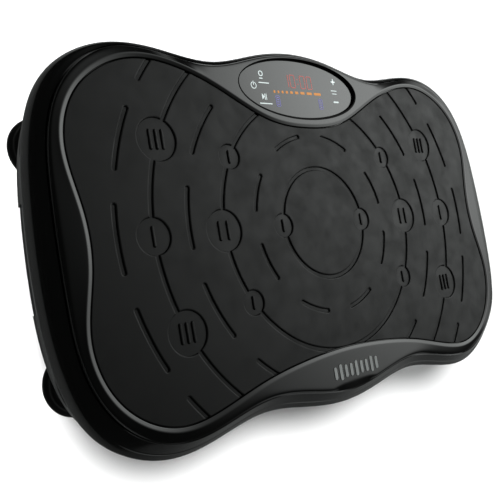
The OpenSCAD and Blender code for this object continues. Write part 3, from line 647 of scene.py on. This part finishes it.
def mat_normals(p, inside):
    """Normals from the pattern's own slope, which lean outwards at the rounded edge."""
    step = 0.02
    wall, dip = relief_parts(p)
    steep = DEPTH * 3 * wall * (1 - wall) / SOFT + DIP * 6 * dip * (1 - dip) / LIP
    dx = (relief(p + (step, 0)) - relief(p - (step, 0))) / (2 * step)
    dy = (relief(p + (0, step)) - relief(p - (0, step))) / (2 * step)
    normal = np.column_stack([-dx * steep, -dy * steep, np.ones(len(p))])
    near = np.where(inside < EDGE_R - 0.05)[0]
    outward = normals_of(MAT)[nearest(p[near], MAT)]
    lean = np.clip((EDGE_R - inside[near]) / EDGE_R, 0, 0.999)
    normal[near, :2] += outward * (lean / np.sqrt(1 - lean ** 2))[:, None]
    return normal / np.linalg.norm(normal, axis=1)[:, None]


def disc_wear(verts):
    """1 on the floor of each disc, where the rubber is smoother, and 0 elsewhere."""
    worn = np.zeros(len(verts))
    for x, y, r, *_ in DISCS:
        gap = r - np.hypot(verts[:, 0] - x, verts[:, 1] - y)
        worn = np.maximum(worn, np.clip(gap - 0.3, 0, 1) * (verts[:, 2] < MAT_TOP - 0.8))
    return worn


def mat_piece():
    p, tris = mat_triangles()
    inside = np.maximum(edge_distance(p, MAT), 0)
    top = np.column_stack([p, mat_height(p, inside)])
    on_edge = np.where(inside < 1e-3)[0]
    rim = on_edge[nearest(MAT, p[on_edge])].tolist()
    base_z = SHELL_FLOOR + 0.02
    verts = np.vstack([top, at(MAT, base_z), at(grown(MAT, -0.6), base_z)])
    faces = tris.tolist()
    n = len(MAT)
    side, under = len(top), len(top) + n
    for j in range(n):
        k = (j + 1) % n
        faces.append((rim[j], side + j, side + k, rim[k]))
        faces.append((side + j, under + j, under + k, side + k))
    faces.append(tuple(range(under, under + n)))
    ob = raw_object("rubber_mat", verts, faces)
    outward = np.column_stack([normals_of(MAT), np.zeros(n)])
    down = np.tile((0, 0, -1.0), (n, 1))
    normals = np.vstack([mat_normals(p, inside), outward, down])
    me = ob.data
    me.polygons.foreach_set("use_smooth", [True] * len(me.polygons))
    me.normals_split_custom_set_from_vertices(normals.tolist())
    layer = me.attributes.new("worn", "FLOAT", "POINT")
    layer.data.foreach_set("value", disc_wear(verts).astype(np.float32))
    piece(ob, "deck", "mat_rubber", "mat")


# ---------------------------------------------------------------- console
def console():
    profile = [(0, BEZEL_SEAT), (0, 128.7), (0.15, 128.95), (0.4, 129.0), (1.3, 128.9),
               (1.6, 128.8), (1.75, 128.5), (2.2, LENS_TOP), (2.2, LENS_TOP - 1.5),
               (6.7, LENS_TOP - 1.5), (6.7, LENS_TOP - 3.1), (2.7, LENS_TOP - 3.1),
               (2.7, BEZEL_SEAT)]
    rings = [at(oval_ring(CONSOLE_A - d, CONSOLE_B - d, LENS_SHIFT * (d > 1)), z)
             for d, z in profile]
    piece(skin("bezel_ring", rings, smooth=40), "deck", "bezel_gloss", "console_bezel")
    a, b = CONSOLE_A - LENS_IN, CONSOLE_B - LENS_IN
    rings = [at(oval_ring(a, b, LENS_SHIFT), LENS_TOP - 1.5),
             at(oval_ring(a, b, LENS_SHIFT), LENS_TOP - 0.3),
             at(oval_ring(a - 0.3, b - 0.3, LENS_SHIFT), LENS_TOP)]
    for f in (0.9, 0.75, 0.6, 0.45, 0.3, 0.15):
        rings.append(at(oval_ring(a * f, b * f, LENS_SHIFT), LENS_TOP + 0.25 * (1 - f * f)))
    lens = skin("smoked_lens", rings, looped=False, capped=True, smooth=40)
    piece(lens, "deck", "lens_smoked", "display_lens")


def ribbon(path, width, z0, z1, closed=False):
    """One flat stroke along a path of (x, y) points, with round ends unless it is closed."""
    p = np.array(path, float)
    h = width / 2
    if closed:
        outer = grown(p, h)
        inner = grown(p, -h)
        return skin("stroke", [at(outer, z0), at(outer, z1), at(inner, z1), at(inner, z0)])
    t = np.gradient(p, axis=0)
    t /= np.linalg.norm(t, axis=1)[:, None]
    n = np.column_stack([t[:, 1], -t[:, 0]])
    cap = np.radians(np.linspace(0, 180, 7))[1:-1]
    end = p[-1] + h * (np.outer(np.cos(cap), n[-1]) + np.outer(np.sin(cap), t[-1]))
    start = p[0] + h * (np.outer(-np.cos(cap), n[0]) + np.outer(-np.sin(cap), t[0]))
    outline = np.vstack([p + n * h, end, (p - n * h)[::-1], start])
    return prism("stroke", outline, z0, z1)


def mark(path, width, closed=False):
    """A stroke of the display, just proud of the lens."""
    return ribbon(path, width, MARK_LO, MARK_HI, closed)


def circle_path(cx, cy, r, a0=0, a1=360, seg=28):
    """An arc between two angles in degrees, or a whole circle."""
    closed = a1 - a0 >= 360
    a = np.radians(np.linspace(a0, a1, seg, endpoint=not closed))
    return np.column_stack([cx + r * np.cos(a), cy + r * np.sin(a)])


SEGMENTS = {"0": "abcdef", "1": "bc"}
DIGIT_W, DIGIT_H, DIGIT_GAP = 7.2, 15.0, 0.7
DIGIT_Y = 158.2


def digit(ch, x):
    """Seven-segment digit with its left edge at x, as a list of strokes."""
    x1, y, y1 = x + DIGIT_W, DIGIT_Y, DIGIT_Y + DIGIT_H
    mid, g = DIGIT_Y + DIGIT_H / 2, DIGIT_GAP
    lines = {
        "a": ((x + g, y1), (x1 - g, y1)), "d": ((x + g, y), (x1 - g, y)),
        "b": ((x1, mid + g), (x1, y1 - g)), "c": ((x1, y + g), (x1, mid - g)),
        "f": ((x, mid + g), (x, y1 - g)), "e": ((x, y + g), (x, mid - g))}
    return [mark(lines[s], 0.95) for s in SEGMENTS[ch]]


def clock_digits():
    strokes = []
    for ch, x in (("1", -23.5), ("0", -13), ("0", 3), ("0", 14)):
        strokes += digit(ch, x)
    strokes += [mark(circle_path(-1.4, y, 0.4, seg=10), 0.7, True) for y in (163, 168.5)]
    piece(join("clock_digits", strokes, 30), "deck", "lit_red")


def level_bars():
    """A row of bars that grow longer to the right."""
    bars = []
    x = -41.5
    for i, width in enumerate((2.4, 2.4, 2.8, 3.2, 4.0, 5.0, 6.4, 8.4, 11.5)):
        outline = rounded_rect(x + width / 2, 151.6 + 0.16 * i, width, 3.0, 0.7, 4)
        bars.append(prism("bar", outline, MARK_LO, MARK_HI))
        x += width + 3.7
    piece(join("level_bars", bars, 30), "deck", "lit_amber")


def program_symbols():
    """Two upright frames with four short dashes each."""
    strokes = []
    for x in (-37, 31.5):
        strokes.append(mark(rounded_rect(x, 141, 5.6, 12.4, 1.2, 4), 0.5, True))
        for k in range(4):
            y = 137.2 + 2.6 * k
            strokes.append(mark([(x - 1.3, y), (x + 1.3, y)], 0.9))
    piece(join("program_symbols", strokes, 30), "deck", "lit_violet")


def touch_symbols():
    strokes = [
        mark(circle_path(-56.8, 171.4, 2.7), 1.0, True),        # ring, in place of a letter
        mark([(-59.3, 165.8), (-55.4, 165.8)], 1.1),
        mark([(-61.3, 160.8), (-47, 160.8)], 1.1),              # its caption
        mark(circle_path(-69.7, 157, 3.6, 115, 425), 0.75),     # power
        mark([(-69.7, 157.6), (-69.7, 161.6)], 0.75),
        prism("stroke", [(-60, 141.4), (-56.6, 144.8), (-60, 148.2)], MARK_LO, MARK_HI),
        mark([(-55.9, 141.6), (-55.9, 148)], 0.8),              # play and pause
        mark([(-53.9, 141.6), (-53.9, 148)], 0.8),
        mark([(-64.2, 137), (-47, 137)], 1.1),                  # its caption
        mark([(56.6, 170.2), (62.2, 170.2)], 1.7),              # plus
        mark([(59.4, 167.2), (59.4, 173.2)], 1.5),
        mark([(53.6, 159), (62.8, 159)], 0.9),                  # caption, in two lines
        mark([(55, 155.2), (62, 155.2)], 0.9),
        mark([(55.6, 144.9), (62.6, 144.9)], 1.9)]              # minus
    piece(join("touch_symbols", strokes, 30), "deck", "lit_white")


MOTIF_X, MOTIF_Y, MOTIF_PITCH, MOTIF_COUNT = -26.0, -168.2, 8.5, 9
MOTIF_LO, MOTIF_HI = 127.5, 129.42  # from inside the shell to just proud of it


def front_motif():
    """A row of upright bars that swell and shrink: a plain mark for vibration."""
    bars = []
    for k in range(MOTIF_COUNT):
        x = MOTIF_X + MOTIF_PITCH * k
        half = 3.2 + 3.4 * abs(math.sin((k + 0.5) * math.pi / 3))
        path = [(x, MOTIF_Y - half), (x, MOTIF_Y + half)]
        bars.append(ribbon(path, 4.2, MOTIF_LO, MOTIF_HI))
    piece(join("vibration_mark", bars, 30), "deck", "print_grey")


# ---------------------------------------------------------------- feet
FOOT_X, FOOT_Y, FOOT_MID = 269.0, 121.5, -4.0
FOOT_BORE = 4.2     # radius
FOOT_TOP = 24.0
RIB_COUNT = 16      # upright ribs round the neck


def foot_spot(x, y):
    """Centre of the foot on the side x and the side y, each -1 or 1."""
    return x * FOOT_X, FOOT_MID + y * FOOT_Y


def suction_foot(node, x, y):
    """A cup with a rounded lip, a neck above it and ribs round the neck."""
    cx, cy = foot_spot(x, y)
    profile = [(FOOT_BORE, 6.0), (8, 5.9), (12, 5.5), (16, 4.9), (20, 4.0), (23.5, 2.2),
               (26.5, 0.4), (28.0, 0.0), (31.8, 0.0), (32.8, 0.25), (33.4, 0.9), (33.5, 2.0),
               (33.4, 3.4), (32.7, 4.4), (31.4, 5.6), (29.6, 6.5), (28.9, 7.6), (28.6, 8.6),
               (27.6, 9.4), (26.0, 10.0), (24.9, 11.0), (24.0, 12.2), (23.3, 13.4),
               (23.0, 14.6), (23.2, 16.0), (23.8, 17.6), (24.4, 19.4), (24.8, 21.6),
               (25.0, 23.2), (25.0, FOOT_TOP), (FOOT_BORE, FOOT_TOP)]
    parts = [lathe("foot", profile, (cx, cy), 96, 35)]
    place = Matrix.Translation((cx * MM, cy * MM, 0))
    for k in range(RIB_COUNT):
        rib = box_mesh("rib", (22.3, -0.7, 14), (25.4, 0.7, 23.4))
        spin = Matrix.Rotation(math.radians(360 * k / RIB_COUNT), 4, "Z")
        parts.append(turned(rib, place @ spin))
    piece(join("suction_" + node, parts, 35), "base", "foot_rubber", node)


# ---------------------------------------------------------------- base tray
TRAY_IN = 24.0      # from the skirt's widest line to the tray's wall
TRAY_FLOOR = 24.0   # its underside, which the feet meet
PANEL_X0, PANEL_X1, PANEL_FACE = 89.0, 177.0, 167.5
PANEL_Z, PANEL_H = 43.0, 24.0       # middle height and height of the power panel
INLET_X, SWITCH_X, FUSE_X, FUSE_R = 109.0, 144.0, 167.0, 6.0
CUT_Y0, CUT_Y1 = 150.0, 175.0       # depth of the panel's openings
VENT_X, VENT_Y, VENT_PITCH, VENT_COUNT = 110.0, -36.0, 12.0, 7
VENT_L, VENT_W = 64.0, 4.4


def panel_cuts():
    """Openings for the inlet, the switch and the fuse."""
    cuts = []
    for x, w, h in ((INLET_X, 28, 20), (SWITCH_X, 19, 14)):
        cuts.append(box_mesh("cut", (x - w / 2, CUT_Y0, PANEL_Z - h / 2),
                             (x + w / 2, CUT_Y1, PANEL_Z + h / 2)))
    fuse = prism("cut", circle_path(FUSE_X, -PANEL_Z, FUSE_R, seg=48), CUT_Y0, CUT_Y1)
    z_along_y = Matrix(((1, 0, 0, 0), (0, 0, 1, 0), (0, -1, 0, 0), (0, 0, 0, 1)))
    return cuts + [turned(fuse, z_along_y)]


def vent_cuts():
    """Two blocks of slots through the tray's floor."""
    cuts = []
    for x in (-VENT_X, VENT_X):
        for k in range(VENT_COUNT):
            slot = rounded_rect(x, VENT_Y + VENT_PITCH * k, VENT_L, VENT_W, VENT_W / 2, 4)
            cuts.append(prism("cut", slot, 20, 26.6))
    return cuts


def base_tray():
    rows = [(-20, TRAY_FLOOR), (-14, 24.5), (-8, 26.0), (-4.5, 28.6), (-2, 32.0), (-0.7, 36.5),
            (0, 42), (0, 55), (0, 70), (0, 93.2), (-0.5, 94.0), (-2.0, 94.0), (-2.5, 93.2),
            (-2.5, 42), (-3.4, 36.5), (-5.5, 32), (-11.5, 28.0), (-14.5, 26.4)]
    rings = [at(grown(HIP, d - TRAY_IN), z) for d, z in rows]
    ob = skin("tray", rings, looped=False, capped=True, smooth=0)
    pad = [(25, TRAY_FLOOR), (25, TRAY_FLOOR + 3), (0.5, TRAY_FLOOR + 3), (0.5, TRAY_FLOOR)]
    pads = [lathe("pad", pad, foot_spot(x, y), 64) for x in (-1, 1) for y in (-1, 1)]
    panel = box_mesh("panel", (PANEL_X0, PANEL_FACE - 8, PANEL_Z - PANEL_H / 2),
                     (PANEL_X1, PANEL_FACE, PANEL_Z + PANEL_H / 2))
    combine(ob, [panel], "UNION")
    combine(ob, panel_cuts() + vent_cuts())
    shade(ob, 35)
    piece(join("moulded_tray", [ob] + pads), "base", "tray_matte", "base_tray")


# ---------------------------------------------------------------- carried-over nodes
NODE_LOOK = {
    "display_board": "board_green", "led_display": "led_red", "display_cable": "ribbon_grey",
    "deck_plate": "steel_painted", "deck_rail_front": "steel_painted",
    "deck_rail_rear": "steel_painted", "deck_bolts": "steel_bright",
    "shell_screws": "steel_bright", "skirt_screws": "steel_bright",
    "pivot_yoke_front": "steel_painted", "pivot_yoke_rear": "steel_painted",
    "pivot_bush_front": "bush_rubber", "pivot_bush_rear": "bush_rubber",
    "rod_bracket_front": "steel_painted", "rod_bracket_rear": "steel_painted",
    "rod_pins": "steel_bright", "base_plate": "steel_painted", "foot_bolts": "steel_bright",
    "pivot_stand_front": "cast_green", "pivot_stand_rear": "cast_green",
    "pivot_pins": "steel_bright", "stand_bolts": "steel_bright",
    "pillow_block_front": "cast_green", "pillow_block_rear": "cast_green",
    "shaft_bearing_front": "steel_bright", "shaft_bearing_rear": "steel_bright",
    "pillow_bolts": "steel_bright", "motor_can": "can_dark", "motor_cap_front": "alloy",
    "motor_cap_rear": "alloy", "motor_magnets": "core_steel", "motor_cradle": "steel_painted",
    "drive_belt": "belt_rubber", "control_board": "board_green", "heat_sink": "alloy",
    "transformer": "core_steel", "wire_harness": "wire_pvc", "display_header": "header_white",
    "power_inlet": "inlet_black", "fuse_holder": "inlet_black", "switch_housing": "inlet_black",
    "drive_shaft": "steel_bright", "driven_pulley": "alloy", "rod_front": "steel_bright",
    "rod_rear": "steel_bright", "rod_bearing_front": "steel_bright",
    "rod_bearing_rear": "steel_bright", "motor_rotor": "rotor_copper", "motor_pulley": "alloy",
    "rocker_switch": "rocker_red",
}


def dress_nodes():
    """Materials for the nodes that keep their own shape."""
    for name, look in NODE_LOOK.items():
        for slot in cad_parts[name].material_slots:
            slot.material = MATERIALS[look]


# ---------------------------------------------------------------- stage, light, camera
def stage_floor():
    """A square sheet of pale paper, 18 m wide, as a grid of n by n points."""
    n = 40
    xs = np.linspace(-9000, 9000, n)
    verts = [(x, y, 0) for y in xs for x in xs]
    faces = [(j * n + i, j * n + i + 1, (j + 1) * n + i + 1, (j + 1) * n + i)
             for j in range(n - 1) for i in range(n - 1)]
    floor = mesh_object("studio_floor", verts, faces, 0)
    paper = finish_material("floor_paper", (0.86, 0.86, 0.86), 0.9, specular=0.0,
                            colour_var=0.01, patch=0.5, rough_var=0.02)
    floor.data.materials.append(paper)
    floor.visible_glossy = False
    return floor


def floor_light(name, floor, azimuth, elevation, size, power):
    """A disc of light 3 m from the part's middle that lights only the floor."""
    data = bpy.data.lights.new(name, "AREA")
    data.shape = "DISK"
    data.size = size
    data.energy = power
    ob = new_object(name, data)
    a, e = math.radians(azimuth), math.radians(elevation)
    towards = Vector((math.cos(a) * math.cos(e), math.sin(a) * math.cos(e), math.sin(e)))
    ob.location = Vector((0, 0, 0.06)) + towards * 3.0
    ob.rotation_euler = (-towards).to_track_quat("-Z", "Y").to_euler()
    group = bpy.data.collections.new(name + "_receivers")
    group.objects.link(floor)
    ob.light_linking.receiver_collection = group


def world_light():
    """What the gloss reflects: a soft box above, a pale window and the pale floor."""
    w = bpy.data.worlds.new("studio")
    bpy.context.scene.world = w
    w.use_nodes = True
    t = w.node_tree
    t.nodes.clear()
    coord = t.nodes.new("ShaderNodeTexCoord")
    xyz = t.nodes.new("ShaderNodeSeparateXYZ")
    link(t, coord.outputs["Generated"], xyz.inputs[0])
    x, y, z = xyz.outputs

    def add(a, b):
        return math_node(t, "ADD", a, b)

    def times(a, b):
        return math_node(t, "MULTIPLY", a, b)

    def bump(value, centre, width):
        """A smooth peak of 1 at the centre angle, in degrees."""
        off = math_node(t, "SUBTRACT", value, math.radians(centre))
        d = math_node(t, "DIVIDE", off, math.radians(width))
        return math_node(t, "EXPONENT", times(times(d, d), -1.0))

    def ramp(value, first, last):
        """A smooth step from 0 to 1 between two angles in degrees."""
        n = t.nodes.new("ShaderNodeMapRange")
        n.interpolation_type = "SMOOTHSTEP"
        n.inputs["From Min"].default_value = math.radians(first)
        n.inputs["From Max"].default_value = math.radians(last)
        link(t, value, n.inputs["Value"])
        return n.outputs["Result"]

    az = math_node(t, "ARCTAN2", y, x)
    el = math_node(t, "ARCTAN2", z, math_node(t, "SQRT", add(times(x, x), times(y, y))))

    # The soft box is high on the plate's right, in an otherwise dark room.
    room = add(times(times(bump(az, 18, 28), bump(el, 39, 14)), 3.5), 0.03)

    # The window is low on the right, and runs round to the rear below the horizon.
    reach = math_node(t, "MAXIMUM", ramp(az, 42, 29), times(ramp(el, 4, -8), ramp(az, 110, 60)))
    window = times(times(ramp(az, -18, 8), reach), times(bump(el, -6, 24), 0.95))

    # The pale floor fills everything below a horizon that stands higher in front.
    lift = times(ramp(az, -175, -152), ramp(az, 0, -25))
    level = math_node(t, "SUBTRACT", el, times(lift, math.radians(12)))
    pale_floor = times(ramp(level, 1, -3), add(times(bump(el, -20, 42), 0.22), 0.01))

    total = add(add(room, window), pale_floor)
    tint = t.nodes.new("ShaderNodeCombineColor")
    link(t, times(total, 0.965), tint.inputs[0])
    link(t, total, tint.inputs[1])
    link(t, times(total, 0.985), tint.inputs[2])
    seen_by_part = t.nodes.new("ShaderNodeBackground")
    link(t, tint.outputs[0], seen_by_part.inputs["Color"])
    seen_by_camera = t.nodes.new("ShaderNodeBackground")
    seen_by_camera.inputs["Color"].default_value = (0.9, 0.9, 0.9, 1)
    path = t.nodes.new("ShaderNodeLightPath")
    mix = t.nodes.new("ShaderNodeMixShader")
    out = t.nodes.new("ShaderNodeOutputWorld")
    link(t, path.outputs["Is Camera Ray"], mix.inputs[0])
    link(t, seen_by_part.outputs[0], mix.inputs[1])
    link(t, seen_by_camera.outputs[0], mix.inputs[2])
    link(t, mix.outputs[0], out.inputs["Surface"])


def camera():
    """Above the plate's left end, rolled so that the plate seems to stand on its long edge."""
    data = bpy.data.cameras.new("camera")
    data.lens = 48.18
    data.sensor_width = 36
    data.sensor_fit = "HORIZONTAL"
    data.clip_start = 0.01
    data.clip_end = 100
    ob = new_object("camera", data)
    right = Vector((0.7642, -0.1687, 0.6226)).normalized()
    back = Vector((-0.6393, -0.0700, 0.7657)).normalized()
    up = back.cross(right).normalized()
    right = up.cross(back).normalized()
    m = Matrix((right, up, back)).transposed().to_4x4()
    m.translation = Vector((-0.5547, -0.0703, 0.6530))
    ob.matrix_world = m
    bpy.context.scene.camera = ob


# ---------------------------------------------------------------- build
camera()
world_light()
floor = stage_floor()
floor_light("floor_key", floor, 149, 58, 1.15, 150)
floor_light("floor_fill", floor, 180, 42, 2.5, 34)
top_shell()
side_skirt()
mat_piece()
console()
clock_digits()
level_bars()
program_symbols()
touch_symbols()
front_motif()
suction_foot("foot_front_left", -1, -1)
suction_foot("foot_front_right", 1, -1)
suction_foot("foot_rear_left", -1, 1)
suction_foot("foot_rear_right", 1, 1)
base_tray()
dress_nodes()
bpy.context.scene.view_settings.view_transform = "Standard"
